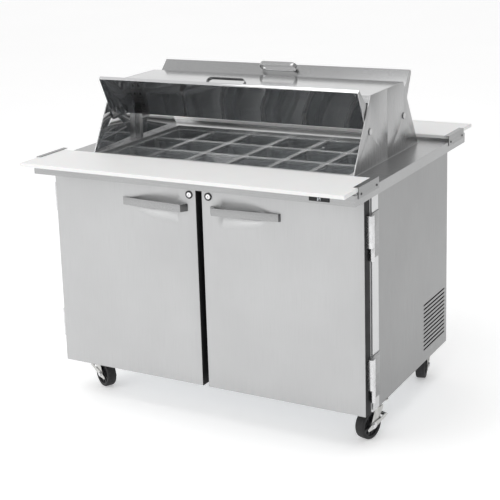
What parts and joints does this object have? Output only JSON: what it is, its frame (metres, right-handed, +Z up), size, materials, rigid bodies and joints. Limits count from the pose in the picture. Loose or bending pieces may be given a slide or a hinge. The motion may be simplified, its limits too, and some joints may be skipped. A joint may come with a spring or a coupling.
{
  "type": "refrigerated sandwich prep table",
  "caption": "Two-sided refrigerated sandwich prep table: hinged doors, raised pan well with pans, flip-open hood lids, front and rear cutting boards, braked casters.",
  "frame": {"origin": "on the floor, under the middle of the table, half way between the front and rear boards", "axes": "+X to the right of a person facing the doors, -Y towards that person, +Z up"},
  "size_m": [1.236, 1.176, 1.1882],
  "materials": {
    "brushed_stainless": "brushed",
    "polished_stainless": "polished",
    "galvanised_sheet": "matte",
    "white_polyethylene": "satin",
    "clear_polycarbonate": "clear gloss",
    "liner_plastic": "satin",
    "insulating_foam": "foamed",
    "black_plastic": "matte",
    "gasket_rubber": "matte",
    "tread_rubber": "matte",
    "zinc_plated_steel": "plated",
    "chromed_steel": "polished",
    "black_paint": "semi-gloss",
    "aluminium_fins": "satin",
    "coated_wire": "gloss"
  },
  "bodies": {
    "table": {"left_side_panel": "brushed_stainless", "right_side_panel": "brushed_stainless", "back_panel": "galvanised_sheet", "rear_grille": "galvanised_sheet", "base_frame": "galvanised_sheet", "front_frame": "brushed_stainless", "mullion": "black_plastic", "inner_liner": "liner_plastic", "cabinet_insulation": "insulating_foam", "wire_shelves": "coated_wire", "shelf_supports": "liner_plastic", "frame_hinge_parts": "chromed_steel", "worktop_deck": "brushed_stainless", "pan_well": "brushed_stainless", "pan_divider_bars": "brushed_stainless", "food_pans": "clear_polycarbonate", "board_brackets": "polished_stainless", "screws": "chromed_steel", "display_module": "black_plastic", "hood_end_panels": "brushed_stainless", "hood_top": "polished_stainless", "hood_posts": "brushed_stainless", "caster_plates": "zinc_plated_steel", "condenser_coil": "aluminium_fins", "evaporator_unit": "aluminium_fins", "compressor": "black_paint"},
    "left_door": {"left_door_skin": "brushed_stainless", "left_door_core": "liner_plastic", "left_door_gasket": "gasket_rubber", "left_door_handle": "brushed_stainless", "left_door_hinges": "chromed_steel", "left_door_lock_housing": "black_plastic"},
    "left_lock": {"left_door_lock_plug": "chromed_steel"},
    "right_door": {"right_door_skin": "brushed_stainless", "right_door_core": "liner_plastic", "right_door_gasket": "gasket_rubber", "right_door_handle": "brushed_stainless", "right_door_hinges": "chromed_steel", "right_door_lock_housing": "black_plastic"},
    "right_lock": {"right_door_lock_plug": "chromed_steel"},
    "front_lid": {"front_lid_panel": "polished_stainless", "front_lid_hardware": "chromed_steel"},
    "front_board": {"front_board": "white_polyethylene"},
    "rear_lid": {"rear_lid_panel": "polished_stainless", "rear_lid_hardware": "chromed_steel"},
    "rear_board": {"rear_board": "white_polyethylene"},
    "front_left_fork": {"front_left_fork": "zinc_plated_steel"},
    "front_left_wheel": {"front_left_wheel": "tread_rubber"},
    "front_left_brake": {"front_left_brake": "zinc_plated_steel"},
    "front_right_fork": {"front_right_fork": "zinc_plated_steel"},
    "front_right_wheel": {"front_right_wheel": "tread_rubber"},
    "front_right_brake": {"front_right_brake": "zinc_plated_steel"},
    "rear_left_fork": {"rear_left_fork": "zinc_plated_steel"},
    "rear_left_wheel": {"rear_left_wheel": "tread_rubber"},
    "rear_left_brake": {"rear_left_brake": "zinc_plated_steel"},
    "rear_right_fork": {"rear_right_fork": "zinc_plated_steel"},
    "rear_right_wheel": {"rear_right_wheel": "tread_rubber"},
    "rear_right_brake": {"rear_right_brake": "zinc_plated_steel"},
    "condenser_fan": {"condenser_fan": "black_plastic"},
    "evaporator_fan": {"evaporator_fan": "black_plastic"}
  },
  "joints": [
    {"name": "left_door_hinge", "type": "hinge", "parent": "table", "child": "left_door", "pos_m": [-0.6085, -0.372, 0.5], "axis": [0, 0, -1], "range_deg": [0, 110]},
    {"name": "left_lock_turn", "type": "hinge", "parent": "left_door", "child": "left_lock", "pos_m": [-0.037, -0.41, 0.819], "axis": [0, 1, 0], "range_deg": [0, 90]},
    {"name": "right_door_hinge", "type": "hinge", "parent": "table", "child": "right_door", "pos_m": [0.6085, -0.372, 0.5], "axis": [0, 0, 1], "range_deg": [0, 110]},
    {"name": "right_lock_turn", "type": "hinge", "parent": "right_door", "child": "right_lock", "pos_m": [0.037, -0.41, 0.819], "axis": [0, -1, 0], "range_deg": [0, 90]},
    {"name": "front_lid_hinge", "type": "hinge", "parent": "table", "child": "front_lid", "pos_m": [0, -0.151, 1.023], "axis": [1, 0, 0], "range_deg": [0, 104]},
    {"name": "front_board_slide", "type": "slide", "parent": "table", "child": "front_board", "axis": [0, -1, 0], "range_m": [0, 0.12]},
    {"name": "rear_lid_hinge", "type": "hinge", "parent": "table", "child": "rear_lid", "pos_m": [0, 0.151, 1.023], "axis": [-1, 0, 0], "range_deg": [0, 104]},
    {"name": "rear_board_slide", "type": "slide", "parent": "table", "child": "rear_board", "axis": [0, 1, 0], "range_m": [0, 0.12]},
    {"name": "front_left_swivel", "type": "hinge", "parent": "table", "child": "front_left_fork", "pos_m": [-0.54, -0.275, 0.108], "axis": [0, 0, 1], "continuous": true},
    {"name": "front_left_roll", "type": "hinge", "parent": "front_left_fork", "child": "front_left_wheel", "pos_m": [-0.51149, -0.28953, 0.0508], "axis": [0.454, 0.891, 0], "continuous": true},
    {"name": "front_left_brake_press", "type": "hinge", "parent": "front_left_fork", "child": "front_left_brake", "pos_m": [-0.51149, -0.28953, 0.0508], "axis": [-0.454, -0.891, 0], "range_deg": [0, 12]},
    {"name": "front_right_swivel", "type": "hinge", "parent": "table", "child": "front_right_fork", "pos_m": [0.56, -0.25, 0.108], "axis": [0, 0, 1], "continuous": true},
    {"name": "front_right_roll", "type": "hinge", "parent": "front_right_fork", "child": "front_right_wheel", "pos_m": [0.55172, -0.28091, 0.0508], "axis": [0.9659, -0.2588, 0], "continuous": true},
    {"name": "front_right_brake_press", "type": "hinge", "parent": "front_right_fork", "child": "front_right_brake", "pos_m": [0.55172, -0.28091, 0.0508], "axis": [-0.9659, 0.2588, 0], "range_deg": [0, 12]},
    {"name": "rear_left_swivel", "type": "hinge", "parent": "table", "child": "rear_left_fork", "pos_m": [-0.54, 0.315, 0.108], "axis": [0, 0, 1], "continuous": true},
    {"name": "rear_left_roll", "type": "hinge", "parent": "rear_left_fork", "child": "rear_left_wheel", "pos_m": [-0.55095, 0.34507, 0.0508], "axis": [-0.9397, -0.342, 0], "continuous": true},
    {"name": "rear_left_brake_press", "type": "hinge", "parent": "rear_left_fork", "child": "rear_left_brake", "pos_m": [-0.55095, 0.34507, 0.0508], "axis": [0.9397, 0.342, 0], "range_deg": [0, 12]},
    {"name": "rear_right_swivel", "type": "hinge", "parent": "table", "child": "rear_right_fork", "pos_m": [0.522, 0.315, 0.108], "axis": [0, 0, 1], "continuous": true},
    {"name": "rear_right_roll", "type": "hinge", "parent": "rear_right_fork", "child": "rear_right_wheel", "pos_m": [0.52974, 0.28395, 0.0508], "axis": [0.9703, 0.2419, 0], "continuous": true},
    {"name": "rear_right_brake_press", "type": "hinge", "parent": "rear_right_fork", "child": "rear_right_brake", "pos_m": [0.52974, 0.28395, 0.0508], "axis": [-0.9703, -0.2419, 0], "range_deg": [0, 12]},
    {"name": "condenser_fan_spin", "type": "hinge", "parent": "table", "child": "condenser_fan", "pos_m": [-0.3, 0.279, 0.28], "axis": [0, 1, 0], "continuous": true},
    {"name": "evaporator_fan_spin", "type": "hinge", "parent": "table", "child": "evaporator_fan", "pos_m": [0, 0.247, 0.654], "axis": [0, 1, 0], "continuous": true}
  ]
}
